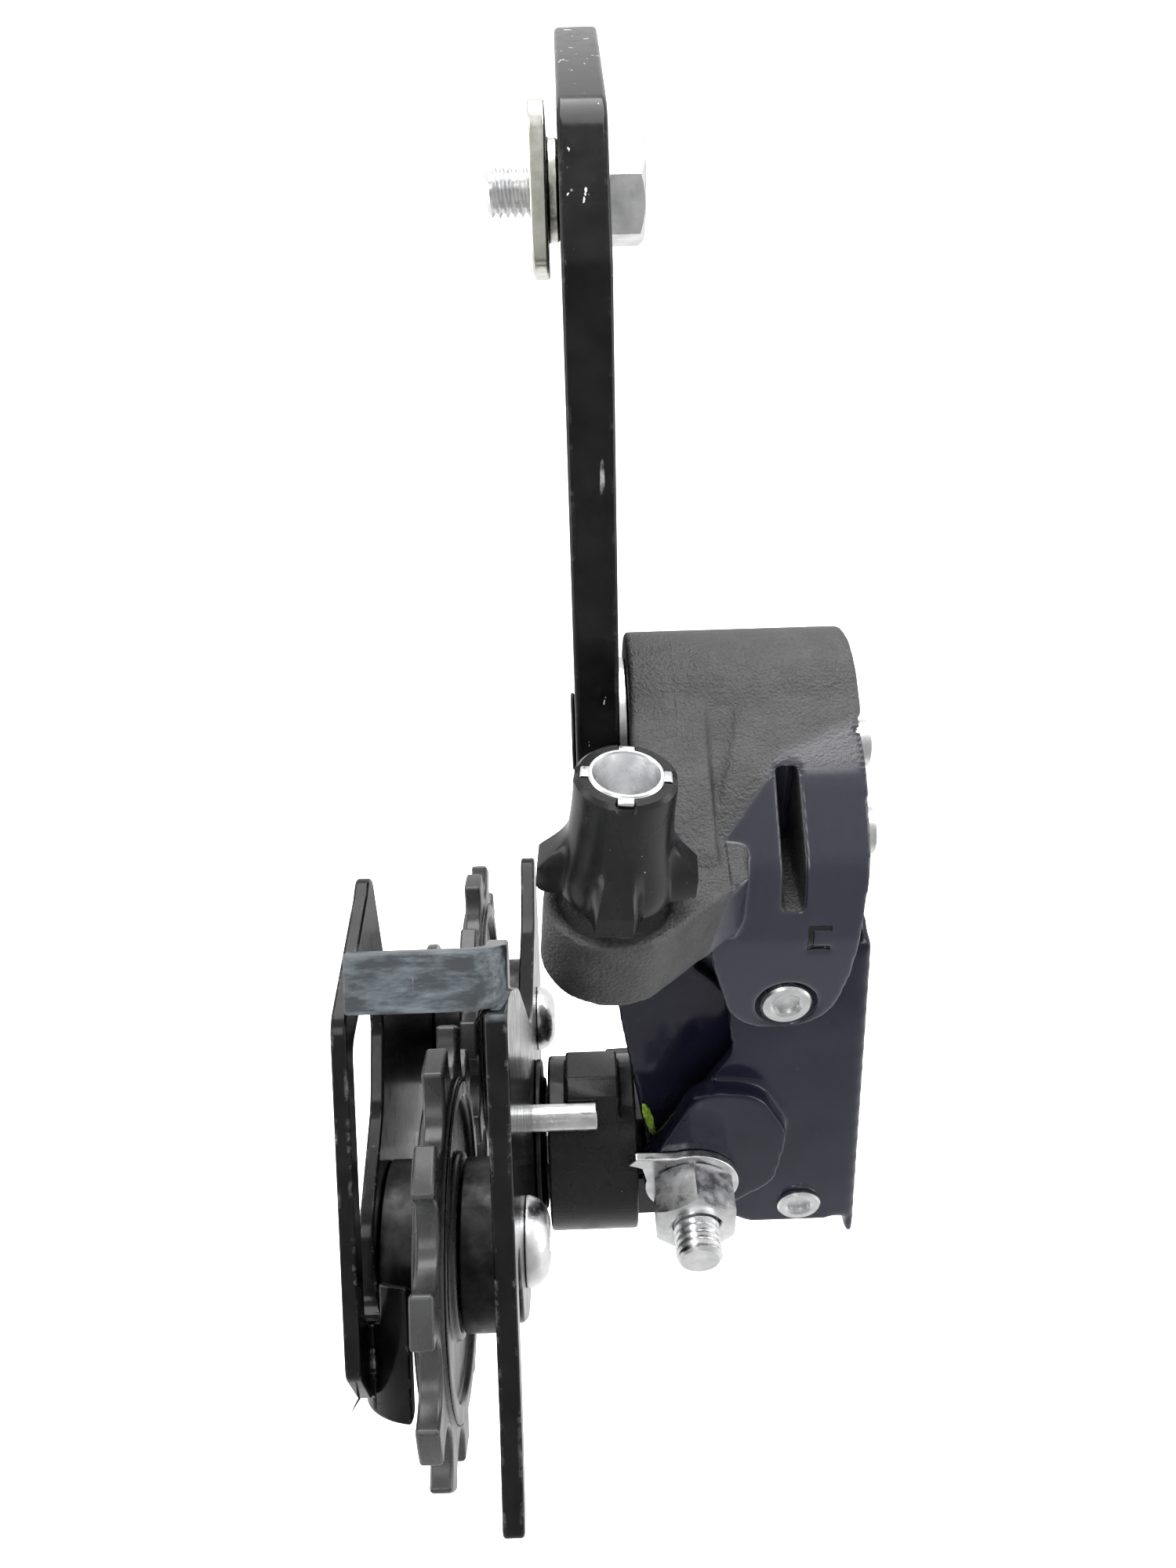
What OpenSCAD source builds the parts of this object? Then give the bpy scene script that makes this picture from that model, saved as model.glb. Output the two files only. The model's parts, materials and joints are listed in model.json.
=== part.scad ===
// Rear bicycle derailleur with a long claw hanger and a long cage.
// Origin: centre of the wheel axle on the inner face of the hanger.
// +X points outboard, +Y forward along the bicycle, +Z up. Millimetres.

/* [Hanger] */
// Thickness of the hanger plate
hanger_t = 5; // [4:0.5:6]
// Radius of the axle slot
slot_r = 5.1; // [5:0.1:5.5]
// Fixing bolt, position along Y
bolt_y = -16.9; // [-18:0.1:-15]
// Fixing bolt, position along Z
bolt_z = -6.8; // [-8:0.1:-5]
// Hex size of the fixing bolt across its flats
bolt_af = 10; // [8:1:10]

/* [Upper knuckle] */
// Upper pivot, position along Y
b_y = -14.9; // [-16:0.1:-14]
// Upper pivot, position along Z
b_z = -66.7; // [-68:0.1:-65]
// Radius of the knuckle barrel
b_r = 12; // [11:0.5:12.5]
// Inboard face of the knuckle
knuckle_x0 = 6.2; // [6:0.1:7]
// Outboard face of the knuckle
knuckle_x1 = 32.6; // [32:0.1:33]

/* [Barrel adjuster] */
// Rim of the adjuster, position along X
adj_x = 4.6; // [4:0.1:5]
// Rim of the adjuster, position along Y
adj_y = -50.3; // [-52:0.1:-48]
// Rim of the adjuster, position along Z
adj_z = -60; // [-62:0.1:-58]
// Lean of the adjuster away from upright, degrees
adj_lean = 19.4; // [15:0.1:25]
// Lean of the adjuster towards outboard, degrees
adj_tilt = 4.5; // [0:0.5:8]
// Bore for the cable housing, radius
housing_r = 3.05; // [3:0.05:3.2]

/* [Links] */
// Lean of the link plane, degrees
link_lean = 18; // [15:1:20]
// Spacing of the two links at their pins
link_gap = 15; // [14:0.5:16]
// Radius of the link pins
pin_r = 2.2; // [2:0.1:2.5]
// Thickness of the stamped links
link_t = 1.5; // [1.2:0.1:1.5]

/* [Lower knuckle] */
// Cage pivot, position along Y
p_y = -15.9; // [-17:0.1:-15]
// Cage pivot, position along Z
p_z = -126.5; // [-128:0.1:-125]
// Radius of the lower knuckle
p_r = 11.7; // [11:0.1:12]

/* [Cage] */
// Outboard face of the outer plate
cage_x1 = -7.1; // [-7.5:0.1:-7]
// Thickness of the outer plate
outer_t = 2.1; // [1.8:0.1:2.2]
// Thickness of the inner plate
inner_t = 1.5; // [1.2:0.1:1.6]
// Clear width between the two plates
cage_gap = 12.6; // [11.5:0.1:13]
// Guide pulley, position along Y
guide_y = 1.8; // [0:0.1:4]
// Guide pulley, position along Z
guide_z = -117.3; // [-119:0.1:-116]
// Tension pulley, position along Y
tension_y = -50.3; // [-52:0.1:-49]
// Tension pulley, position along Z
tension_z = -113.6; // [-115:0.1:-112]
// Number of teeth on each pulley
teeth = 11; // [10:1:11]

/* [Hidden] */
$fn = 64;

// Running gap of a pin in its bore, and the gap between bodies that pass each other
run_gap = 0.05;
pass_gap = 0.3;
// A cut reaches this far past the faces that it opens
over = 1;

// Bolt thread M5 and the hole that clears it
thread_r = 2.45;
bolt_hole_r = 2.6;

// The upper pins in the link frame: [x, height]
outer_top = [23.4, -78.9];
inner_top = outer_top - [link_gap, 0];
// From an upper pin to the lower pin of the same link
link_vector = [5.6, -43.1];
outer_low = outer_top + link_vector;
inner_low = inner_top + link_vector;
link_angle = atan2(link_vector[0], -link_vector[1]);

// Depths in the link frame, growing towards the rear
rear_flange = 59.2;
front_flange = 31.2;
rear_face = rear_flange + link_t;
inner_rear = 55.3;
inner_front = 34.2;
core_front = front_flange + link_t + pass_gap;
core_rear = rear_flange - pass_gap - 0.1;
narrow_front = inner_front + link_t + pass_gap;
narrow_rear = inner_rear - pass_gap;
knuckle_face = 62.6;
pin_flat = knuckle_face - 0.9;

// The cable anchor on the outer link, in the link frame
anchor = [13.4, -111.4];
lug_back = 61.5;
lug_face = 63.3;
washer_t = 1.2;
nut_t = 6.2;

// Cage planes
cage_x2 = cage_x1 - outer_t;
cage_x3 = cage_x2 - cage_gap;
cage_x4 = cage_x3 - inner_t;
pulley_x = (cage_x2 + cage_x3) / 2;
// A chain link is half an inch long
pitch_r = 12.7 / 2 / sin(180 / teeth);
tip_r = pitch_r + 0.8;
bush_r = 4;

// ---------------------------------------------------------------- helpers

// Points of the fillet of radius c[2] at corner c, between a and b
function fillet(a, c, b) =
    let (
        p = [c[0], c[1]],
        u = [a[0], a[1]] - p,
        v = [b[0], b[1]] - p,
        ua = atan2(u[1], u[0]),
        va = atan2(v[1], v[0]),
        turn = ((va - ua) % 360 + 540) % 360 - 180,
        half = abs(turn) / 2,
        mid = ua + turn / 2,
        centre = p + c[2] / sin(half) * [cos(mid), sin(mid)],
        sweep = sign(turn) * (180 - 2 * half),
        start = ua - sign(turn) * 90,
        n = max(2, ceil(abs(sweep) / 12))
    )
    c[2] == 0 ? [p] : [for (i = [0:n]) centre + c[2] * [cos(start - sweep * i / n),
                                                        sin(start - sweep * i / n)]];

// An outline whose corners [x, y, radius] are rounded
function rounded(corners) =
    let (n = len(corners))
    [for (i = [0:n - 1]) each fillet(corners[(i + n - 1) % n], corners[i], corners[(i + 1) % n])];

// Extrudes a (Y, Z) outline along X
module slab_x(x0, x1) {
    translate([x0, 0, 0]) rotate([90, 0, 90]) linear_extrude(x1 - x0) children();
}

// A cylinder along X
module rod_x(x0, x1, r, y, z, sides = 64) {
    translate([x0, y, z]) rotate([0, 90, 0]) cylinder(h = x1 - x0, r = r, $fn = sides);
}

// The link frame: x outboard, y up along the links, z towards the rear
module link_frame() {
    rotate([90 + link_lean, 0, 0]) children();
}

// A cylinder along the pins of the links
module rod_v(v0, v1, r, at, sides = 64) {
    link_frame() translate([at[0], at[1], v0]) cylinder(h = v1 - v0, r = r, $fn = sides);
}

// Extrudes an (x, height) outline along the pins of the links
module slab_v(v0, v1) {
    link_frame() translate([0, 0, v0]) linear_extrude(v1 - v0) children();
}

// The adjuster frame: z out of the cable socket, zero at its rim
module adjuster_frame() {
    translate([adj_x, adj_y, adj_z]) rotate([adj_lean, adj_tilt, 0]) children();
}

// A coil of round wire along z, swept ring by ring
module coil(r, wire_r, turns, height) {
    sides = 8;
    steps = 20 * turns;
    rings = [for (i = [0:steps]) for (j = [0:sides - 1])
        let (a = 360 * turns * i / steps, b = 360 * j / sides)
        [(r + wire_r * cos(b)) * cos(a), (r + wire_r * cos(b)) * sin(a),
         height * i / steps + wire_r * sin(b)]];
    skin = [for (i = [0:steps - 1]) for (j = [0:sides - 1])
        let (k = (j + 1) % sides)
        [i * sides + j, (i + 1) * sides + j, (i + 1) * sides + k, i * sides + k]];
    first = [for (j = [0:sides - 1]) j];
    last = [for (j = [sides - 1:-1:0]) steps * sides + j];
    polyhedron(points = rings, faces = concat(skin, [first], [last]), convexity = 10);
}

// ---------------------------------------------------------------- hanger

module hanger_bracket() {
    claw = [[-24.6, 0, 7], [-31.5, -14.8, 2], [-28.3, -52, 6], [b_y - b_r, b_z, 0],
            [b_y + b_r, b_z, 0], [-5, -50, 8], [-8, -32, 14], [-6, -19, 6], [11, -12, 4],
            [13, -1, 3], [0, 0, 0], [17, 2, 2], [19, 13, 5], [4, 13, 10]];
    color("black") difference() {
        union() {
            slab_x(0, hanger_t) polygon(rounded(claw));
            rod_x(0, hanger_t, b_r, b_y, b_z);
        }
        rod_x(-over, hanger_t + over, slot_r, 0, 0);
        slab_x(-over, hanger_t + over) rotate(8) translate([0, -slot_r]) square([30, 2 * slot_r]);
        rod_x(-over, hanger_t + over, bolt_hole_r, bolt_y, bolt_z);
        rod_x(-over, hanger_t + over, axle_r + run_gap, b_y, b_z);
    }
}

module hanger_bolt() {
    head_t = 3.9;
    color("silver") {
        translate([hanger_t, bolt_y, bolt_z]) rotate([23, 0, 0]) rotate([0, 90, 0])
            cylinder(h = head_t, r = bolt_af / 2 / cos(30), $fn = 6);
        rod_x(-7.5, hanger_t, thread_r, bolt_y, bolt_z);
    }
}

// A flange nut: its round boss sits in the slot of the dropout
module hanger_nut() {
    boss_r = 4.95;
    boss_t = 1.2;
    flange_t = 1.7;
    flange = [[-8, -8.3, 3], [8, -8.3, 3], [8, 7.6, 3], [-8, 7.6, 3]];
    color("silver") difference() {
        union() {
            rod_x(-boss_t, 0, boss_r, bolt_y, bolt_z);
            slab_x(-boss_t - flange_t, -boss_t)
                translate([bolt_y, bolt_z]) polygon(rounded(flange));
        }
        rod_x(-10, over, thread_r + run_gap, bolt_y, bolt_z);
    }
}

axle_r = 4;
axle_head_r = 6.5;
module b_pivot_axle() {
    color("dimgray") difference() {
        union() {
            rod_x(-0.5, 0, 4.8, b_y, b_z);
            rod_x(0, knuckle_x1 - 2, axle_r, b_y, b_z);
            rod_x(knuckle_x1 - 2, knuckle_x1 + 0.6, axle_head_r, b_y, b_z);
        }
        rod_x(knuckle_x1 - 2.4, knuckle_x1 + over, 2.9, b_y, b_z, sides = 6);
    }
}

module b_pivot_washer() {
    color("silver") difference() {
        rod_x(hanger_t, knuckle_x0 - 0.1, 9, b_y, b_z);
        rod_x(hanger_t - over, knuckle_x0 + over, axle_r + run_gap, b_y, b_z);
    }
}

// ---------------------------------------------------------------- upper knuckle

// Side outline of the knuckle behind the barrel, as [depth, height] in the link frame
shoulder = [[36, -56, 0], [39.2, -48, 0], [51.5, -53.8, 12], [60.2, -60.5, 5],
            [knuckle_face, -68, 3], [knuckle_face, -90, 0], [core_front, -90, 0],
            [core_front, -60, 0]];
// Rear outline of the same block, as [x, height]
rear_view = [[21.5, -44, 0], [32.4, -44, 0], [32.3, -50, 10], [31.8, -58, 10], [31, -66, 10],
             [30.4, -74, 10], [28.4, -82.8, 6], [17.5, -82.8, 5], [14.5, -72, 6], [12.8, -61, 6]];

// A block that has the side outline along X and the rear outline along the pins
module shoulder_block() {
    intersection() {
        rotate([link_lean, 0, 0]) translate([knuckle_x0, 0, 0]) rotate([90, 0, 90])
            linear_extrude(knuckle_x1 - knuckle_x0)
                polygon([for (p = rounded(shoulder)) [-p[0], p[1]]]);
        slab_v(0, 80) polygon(rounded(rear_view));
    }
}

boss_r = 7.3;
boss_top = -16.2;
boss_low = -24.8;

module b_knuckle() {
    // The arm from the barrel to the boss, and the ramp beside it, as [depth, height]
    arm = [[36, -56], [39.2, -48.1], [52, -53.4], [60, -57], [64, -59.6], [64, -65.8], [38, -66]];
    ramp = [[36, -56], [39.2, -48.2], [51.5, -54.4], [59.6, -60.2], [61.4, -66], [38, -68]];
    color([0.08, 0.08, 0.09]) difference() {
        union() {
            rod_x(knuckle_x0, knuckle_x1, b_r, b_y, b_z, sides = 96);
            shoulder_block();
            rotate([link_lean, 0, 0]) translate([knuckle_x0, 0, 0]) rotate([90, 0, 90])
                linear_extrude(8.5) polygon([for (p = arm) [-p[0], p[1]]]);
            rotate([link_lean, 0, 0]) translate([knuckle_x0 + 2, 0, 0]) rotate([90, 0, 90])
                linear_extrude(14) polygon([for (p = ramp) [-p[0], p[1]]]);
            adjuster_frame() translate([0, 0, boss_low]) linear_extrude(boss_top - boss_low) union() {
                circle(r = boss_r);
                // The wall that runs from the boss to the rear face
                polygon([[5.6, -4.7], [14.5, 3.9], [14.5, 14], [3, 14], [3, 6.6]]);
            }
            slab_v(narrow_front, narrow_rear) polygon([inner_top + [-4.8, 0], [knuckle_x0 + 1, -66],
                [24, -66], [24, -83], inner_top + [0, -4.8]]);
            rod_v(narrow_front, narrow_rear, 4.8, inner_top);
        }
        // Slots that the flanges of the outer link turn in
        slab_v(core_rear, rear_face + pass_gap) translate([10, -100]) square([30, 30.6]);
        slab_v(0, core_front) translate([-10, -100]) square([60, 28.8]);
        // Room for the inner link round its pin
        slab_v(narrow_rear, 60) translate([-10, -100]) square([25, 27]);
        slab_v(0, narrow_front) translate([-10, -100]) square([25, 28.8]);
        // Bores
        rod_x(knuckle_x0 - over, knuckle_x1 + over, axle_r + run_gap, b_y, b_z);
        rod_x(knuckle_x1 - 2.1, knuckle_x1 + over, axle_head_r + pass_gap, b_y, b_z);
        rod_v(20, 80, pin_r + run_gap, outer_top);
        rod_v(20, 80, pin_r + run_gap, inner_top);
        rod_v(pin_flat - 0.05, 80, 3.6, outer_top);
        // Pocket of the return spring
        rod_v(40, 52, 5.2, outer_top);
        // Thread of the adjuster and the way out for the cable
        adjuster_frame() translate([0, 0, boss_low - over]) cylinder(h = 20, r = stem_r + 0.1);
        // A shallow dish round the stem
        adjuster_frame() translate([0, 0, boss_top - 1.2]) cylinder(h = 5, r = 5.8);
        // The recessed slot and the small window of the rear face
        slab_v(knuckle_face - 14, knuckle_face + over) translate([22, -65]) square([2.4, 11.6]);
        slab_v(knuckle_face - 0.8, knuckle_face + over) difference() {
            translate([24.9, -70]) square([2.6, 3.4]);
            translate([25.5, -69.4]) square([2.1, 2.2]);
        }
        // Seats of the limit screws
        for (s = [high_screw, low_screw]) {
            rod_x(24.5, knuckle_x1 + over, screw_r + run_gap, s[0], s[1]);
            rod_x(knuckle_x1 - 1.3, knuckle_x1 + over, screw_head_r + pass_gap, s[0], s[1]);
        }
    }
}

high_screw = [-26.2, -65.6];
low_screw = [-30.6, -74.6];
screw_r = 1.5;
screw_head_r = 2.7;

module limit_screw(at) {
    x = knuckle_x1 - 1.3;
    color("silver") difference() {
        union() {
            rod_x(25, x, screw_r, at[0], at[1]);
            rod_x(x, x + 2, screw_head_r, at[0], at[1]);
        }
        translate([x + 1.6, at[0], at[1]]) cube([2, 3.2, 0.8], center = true);
        translate([x + 1.6, at[0], at[1]]) cube([2, 0.8, 3.2], center = true);
    }
}

module high_limit_screw() {
    limit_screw(high_screw);
}

module low_limit_screw() {
    limit_screw(low_screw);
}

// ---------------------------------------------------------------- barrel adjuster

stem_r = 2.9;
insert_r = 3.65;
insert_low = -10;

module adjuster_knob() {
    wings = 4;
    color([0.1, 0.1, 0.11]) adjuster_frame() difference() {
        union() {
            rotate_extrude() polygon([[0, 0], [4.6, 0], [4.95, -0.5], [4.95, -3], [5.2, -7],
                                      [5.8, -11], [6, -14], [0, -14]]);
            for (i = [0:wings - 1])
                rotate(-2 + 360 / wings * i) translate([0, 0, -13.8])
                    linear_extrude(5.3) polygon([[0, -3.4], [5.6, -3], [8, -1.9], [8, 1.9],
                                                 [5.6, 3], [0, 3.4]]);
        }
        translate([0, 0, insert_low - 0.05]) cylinder(h = 20, r = insert_r + run_gap);
        translate([0, 0, -18]) cylinder(h = 20, r = stem_r + 0.1);
        // Room for the spring
        translate([0, 0, -15]) cylinder(h = 3.9, r = 5);
    }
}

// Zinc ferrule seat with its threaded stem
module adjuster_insert() {
    rim_t = 0.25;
    color("silver") adjuster_frame() difference() {
        union() {
            translate([0, 0, insert_low]) cylinder(h = rim_t - insert_low, r = insert_r);
            translate([0, 0, -24.3]) cylinder(h = 18, r = stem_r);
        }
        translate([0, 0, insert_low + 1]) cylinder(h = 20, r = housing_r);
        translate([0, 0, -30]) cylinder(h = 30, r = 1);
    }
}

// Keeps the knob from turning by itself
module adjuster_spring() {
    color("silver") adjuster_frame() translate([0, 0, -15.7]) coil(4.1, 0.35, 3, 3.9);
}

// ---------------------------------------------------------------- links

module pin(v0, v1, at) {
    color("silver") difference() {
        rod_v(v0, v1, pin_r, at);
        rod_v(v1 - 0.5, v1 + over, 0.8, at);
    }
}

pin_head_r = 3;
module upper_outer_pin() {
    color("silver") difference() {
        union() {
            rod_v(front_flange - 1, pin_flat, pin_r, outer_top);
            rod_v(pin_flat, pin_flat + 1, pin_head_r, outer_top);
        }
        rod_v(pin_flat + 0.5, pin_flat + 2, 0.9, outer_top);
    }
}

module upper_inner_pin() {
    pin(inner_front - 0.5, inner_rear + link_t + 0.6, inner_top);
}

module lower_outer_pin() {
    color("silver") difference() {
        union() {
            rod_v(front_flange - 1, rear_face, pin_r, outer_low);
            rod_v(rear_face, rear_face + 0.9, pin_head_r, outer_low);
        }
        rod_v(rear_face + 0.4, rear_face + 2, 0.9, outer_low);
    }
}

module lower_inner_pin() {
    pin(inner_front - 0.5, inner_rear + link_t + 0.6, inner_low);
}

module return_spring() {
    color("dimgray") link_frame() translate([outer_top[0], outer_top[1], 41.5])
        coil(3.7, 0.6, 5, 9);
}

// Rear flange of the outer link, [x, height, corner radius]
rear_flange_view = [[17.3, -72.6, 5.8], [31.6, -71.4, 1], [36, -126.8, 0], [22.5, -126.8, 3],
                    [7.4, -117.2, 3], [6.9, -110.6, 1], [14.9, -95.7, 3], [18, -89.5, 4],
                    [17.3, -84.6, 3]];
front_flange_view = [[17.6, -72.8, 5.6], [31.6, -72.2, 1], [36, -126.8, 0], [23.2, -126.8, 5],
                     [15.5, -118, 4], [13.6, -92, 4], [17.4, -86, 3]];
web_view = [[31.6, -71.3], [33, -71.3], [37.6, -128], [37.8, -130.8], [36.5, -130.8],
            [36.1, -128]];
lug_view = [[13.6, -94, 4], [21.5, -94.8, 5], [25.6, -103, 6], [24.6, -113, 5], [18.5, -118.6, 5],
            [8.6, -118.2, 5], [6.9, -110.6, 2]];

module outer_link() {
    color([0.06, 0.06, 0.09]) difference() {
        union() {
            slab_v(rear_flange, rear_face) polygon(rounded(rear_flange_view));
            slab_v(front_flange, front_flange + link_t) polygon(rounded(front_flange_view));
            slab_v(front_flange, rear_face) polygon(web_view);
            slab_v(rear_face - 0.2, lug_face) polygon(rounded(lug_view));
        }
        // The lug is pressed out of the flange, so it is hollow from inside
        slab_v(rear_flange - over, lug_back) polygon(rounded([[14.6, -96.5, 3], [20.8, -96.8, 4],
            [23.8, -103.5, 5], [23, -112, 4], [18, -116.6, 4], [9.4, -116.4, 4], [8.8, -111, 2]]));
        rod_v(20, 70, pin_r + run_gap, outer_top);
        rod_v(20, 70, pin_r + run_gap, outer_low);
        rod_v(50, 70, 3.05, anchor);
    }
}

module inner_link() {
    // Outline of each flange: a strap between two round ends
    color([0.06, 0.06, 0.08]) difference() {
        union() {
            for (v = [inner_front, inner_rear]) {
                rod_v(v, v + link_t, 5, inner_top);
                rod_v(v, v + link_t, 4.6, inner_low);
                link_frame() translate([inner_top[0], inner_top[1], v]) rotate(link_angle)
                    linear_extrude(link_t) polygon([[-5, 0], [5, 0], [8.6, -5], [9, -8], [9, -14],
                                                    [4.6, -26], [4.6, -43.4], [-4.6, -43.4]]);
            }
            link_frame() translate([inner_top[0], inner_top[1], inner_front]) rotate(link_angle)
                linear_extrude(inner_rear + link_t - inner_front)
                    polygon([[-5, -7.5], [-3.5, -7.5], [-3.2, -35.5], [-4.7, -35.5]]);
        }
        rod_v(20, 70, pin_r + run_gap, inner_top);
        rod_v(20, 70, pin_r + run_gap * 2, inner_low);
    }
}

module anchor_bolt() {
    color("silver") {
        rod_v(lug_back - 2.4, lug_back, 4.4, anchor);
        rod_v(lug_back, 74.6, 2.95, anchor);
        rod_v(74.6, 75.2, 2.4, anchor);
    }
}

module anchor_washer() {
    v = lug_face;
    color("silver") difference() {
        union() {
            rod_v(v, v + washer_t, 6.2, anchor);
            slab_v(v, v + washer_t) translate(anchor) polygon([[-5, -3.6], [-6.6, 3.9], [-8.4, 4.7],
                                                              [-7.4, 5.9], [-2, 5.8]]);
        }
        rod_v(v - over, v + 5, 3, anchor);
    }
}

module anchor_nut() {
    v = lug_face + washer_t;
    color("silver") difference() {
        link_frame() translate([anchor[0], anchor[1], v]) rotate(30)
            cylinder(h = nut_t, r = 10 / 2 / cos(30), $fn = 6);
        rod_v(v - over, v + 8, 3, anchor);
    }
}

// ---------------------------------------------------------------- lower knuckle

knuckle_left = -5.3;
module p_knuckle() {
    color([0.08, 0.08, 0.1]) difference() {
        union() {
            rod_x(knuckle_left, 6.4, p_r, p_y, p_z, sides = 96);
            // The bridge to the link pins
            slab_v(narrow_front, narrow_rear) polygon([[3, -127], [29, -127], [29, -117.2],
                                                      [14, -117.2], [3, -117.8]]);
            rod_v(narrow_front, narrow_rear, 4.8, inner_low);
            rod_v(core_front, core_rear, 4.9, outer_low);
            // The cheek behind the inner link's rear flange
            slab_v(inner_rear + link_t + pass_gap, core_rear) polygon([[3, -126.9], [29, -126.9],
                                                                      [29, -118], [3, -118]]);
            // The lug that stops the cage
            slab_x(-2.8, 4.2) translate([p_y, p_z]) polygon([[-7.4, 8], [-8.1, 12.4], [-5.5, 14],
                                                            [2, 13.3], [3.4, 8]]);
        }
        // Spring well, open towards the cage
        rod_x(knuckle_left - over, 2.2, 9.2, p_y, p_z);
        rod_x(0, 20, cage_axle_r + run_gap, p_y, p_z);
        rod_x(4.5, 8, 5, p_y, p_z);
        rod_v(20, 70, pin_r + run_gap, outer_low);
        rod_v(20, 70, pin_r + run_gap, inner_low);
    }
}

cage_axle_r = 3;
module cage_spring() {
    color("dimgray") translate([knuckle_left + 0.9, p_y, p_z]) rotate([0, 90, 0])
        coil(6, 0.65, 3.5, 5.6);
}

module cage_axle() {
    color("silver") {
        rod_x(cage_x2 + 0.1, 4.6, cage_axle_r, p_y, p_z);
        rod_x(4.6, 5.4, 2.3, p_y, p_z);
        rod_x(5.4, 6.2, cage_axle_r, p_y, p_z);
    }
}

module cage_axle_clip() {
    color("silver") difference() {
        rod_x(4.65, 5.35, 4.5, p_y, p_z);
        rod_x(4, 6, 2.3 + run_gap, p_y, p_z);
        translate([4, p_y - 2, p_z - 8]) cube([2, 4, 8]);
    }
}

module cage_pivot_cover() {
    color([0.1, 0.1, 0.1]) difference() {
        union() {
            rod_x(cage_x1, cage_x1 + 0.9, 11.3, p_y, p_z);
            rod_x(cage_x1, cage_x1 + 1.4, 8.8, p_y, p_z);
        }
        rod_x(cage_x1 - over, cage_x1 + 4, cage_axle_r + run_gap, p_y, p_z);
    }
}

// ---------------------------------------------------------------- cage

stop_r = 1.75;
stop_at = [-9.8, 11];
module cage_stop_pin() {
    color("silver") rod_x(cage_x2 + 0.1, 1.3, stop_r, p_y + stop_at[0], p_z + stop_at[1]);
}

// Outer plate, [y, z, corner radius], from the bridge tab down the rear edge
outer_view = [[-57.2, -78.5, 1], [-60.4, -79.5, 1], [-67.9, -106, 6], [-70.9, -116.8, 1.5],
              [-75.2, -126.8, 1.2], [-72.4, -127.8, 1.2], [-67.4, -116.5, 3], [-64.2, -104.5, 2],
              [-60.6, -104.3, 2], [-59.6, -116, 6], [-50.5, -124, 8], [-38, -123, 8],
              [-30, -138, 12], [-14, -140.5, 12], [4, -132, 12], [20, -124, 8], [20.5, -99, 5],
              [15, -96.5, 3], [6, -104, 8], [-16, -108, 14], [-40, -88, 20]];
tab_height = 5.6;
tab_lean = 20;
tab_y = -58.9;
tab_z = -76.3;

module outer_cage_plate() {
    color("black") difference() {
        union() {
            slab_x(cage_x2, cage_x1) polygon(rounded(outer_view));
            // The tab that bridges the gap, bent over with a round corner
            translate([0, tab_y, tab_z]) rotate([-tab_lean, 0, 0]) difference() {
                union() {
                    translate([cage_x3, -outer_t / 2, -tab_height / 2])
                        cube([cage_gap - 2, outer_t, tab_height]);
                    translate([cage_x2 - 2, outer_t / 2 + 2, -tab_height / 2])
                        intersection() {
                            cylinder(h = tab_height, r = outer_t + 2);
                            translate([0, -6, 0]) cube([6, 6, tab_height]);
                        }
                    translate([cage_x2, outer_t / 2 + 1.9, -tab_height / 2])
                        cube([outer_t, 3.2, tab_height]);
                }
                translate([cage_x2 - 2, outer_t / 2 + 2, -tab_height])
                    cylinder(h = 2 * tab_height, r = 2);
            }
        }
        rod_x(cage_x2 - over, cage_x1 + over, bolt_hole_r, guide_y, guide_z);
        rod_x(cage_x2 - over, cage_x1 + over, bolt_hole_r, tension_y, tension_z);
        rod_x(cage_x2 - over, cage_x1 + over, cage_axle_r + run_gap, p_y, p_z);
        rod_x(cage_x2 - over, cage_x1 + over, stop_r + run_gap, p_y + stop_at[0], p_z + stop_at[1]);
    }
}

// Inner plate, [y, z, corner radius], from its top end down the rear edge
inner_view = [[-41, -72.4, 2], [-44.5, -74.4, 1.5], [-60.4, -79.6, 3], [-70, -111.6, 2],
              [-66.5, -117.8, 3], [-52, -127, 12], [-40, -122, 10], [-14, -128, 16],
              [4, -129.5, 10], [13.5, -119, 10], [9, -105, 10], [-8, -106, 14], [-32, -96, 10],
              [-38.5, -84, 8]];
// The window behind the tension pulley leaves a narrow rear rim
window_view = [[-46, -80.6, 2], [-58.2, -83.5, 2], [-65.6, -108.6, 2], [-61.5, -113.8, 2],
               [-58.4, -104.5, 6], [-47, -98, 6], [-42, -90, 4]];
lip_r = 5;
lip_h = 13.5;
lip_y = -62;
lip_z = -121.5;
rim_lean = 17;

module inner_cage_plate() {
    color("black") difference() {
        union() {
            slab_x(cage_x4, cage_x3) polygon(rounded(inner_view));
            // The curled lip beside the tension pulley
            translate([cage_x3 + lip_r, lip_y, lip_z]) rotate([-rim_lean, 0, 0])
                rotate_extrude(start = 180, angle = 80)
                    translate([lip_r, 0]) polygon(rounded([[0, 0, 1.2], [inner_t, 0, 0.2],
                        [inner_t, lip_h, 0.2], [0, lip_h, 1.2]]));
        }
        slab_x(cage_x4 - over, cage_x3 + over) polygon(rounded(window_view));
        rod_x(cage_x4 - over, cage_x3 + over, bolt_hole_r, guide_y, guide_z);
        rod_x(cage_x4 - over, cage_x3 + over, bolt_hole_r, tension_y, tension_z);
    }
}

// ---------------------------------------------------------------- pulleys

hub_x0 = pulley_x - 2.6;
hub_x1 = pulley_x + 2.6;

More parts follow.
